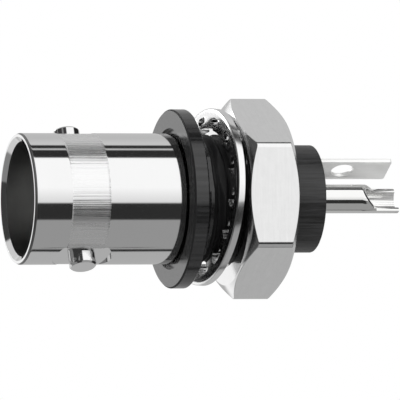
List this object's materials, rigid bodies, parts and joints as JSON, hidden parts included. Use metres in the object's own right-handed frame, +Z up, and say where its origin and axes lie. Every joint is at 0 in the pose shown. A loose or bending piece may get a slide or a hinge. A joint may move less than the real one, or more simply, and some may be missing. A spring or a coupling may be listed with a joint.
{
  "type": "electrical connector",
  "caption": "Bayonet coaxial socket for a panel, insulated by a black flanged bush, with lock washer, hexagon nut, solder tab and solder cup.",
  "frame": {"origin": "on the plug axis, in the plane of the flange's back face, which seats on the front of the panel", "axes": "+X along the plug axis towards the solder end, -X out of the mouth, +Z up as pictured"},
  "size_m": [0.0292, 0.0134, 0.015],
  "materials": {
    "nickel": "bright nickel plate on turned brass",
    "nut_nickel": "bright nickel plate with faint turning marks",
    "washer_steel": "plated spring steel, stamped",
    "terminal_silver": "silver plate, slightly dull",
    "black_plastic": "black moulded plastic, half gloss",
    "white_dielectric": "white waxy insulator"
  },
  "bodies": {
    "socket": {"shell": "nickel", "bayonet_pin_upper": "nickel", "bayonet_pin_lower": "nickel", "insulating_bush": "black_plastic", "rear_insulator": "black_plastic", "front_dielectric": "white_dielectric", "rear_dielectric": "white_dielectric", "centre_contact": "terminal_silver", "ground_tab": "terminal_silver"},
    "washer": {"lock_washer": "washer_steel"},
    "nut": {"hex_nut": "nut_nickel"}
  },
  "joints": [
    {"name": "nut_travel", "type": "slide", "parent": "socket", "child": "washer", "axis": [1, 0, 0], "range_m": [-0.00032, 0.0024]},
    {"name": "nut_turn", "type": "hinge", "parent": "washer", "child": "nut", "pos_m": [0.005, 0, 0], "axis": [1, 0, 0], "range_deg": [-145.18, 1088.55]}
  ],
  "couplings": [
    {"joint": "nut_turn", "follows": "nut_travel", "rad_per_m": 7915.8}
  ]
}
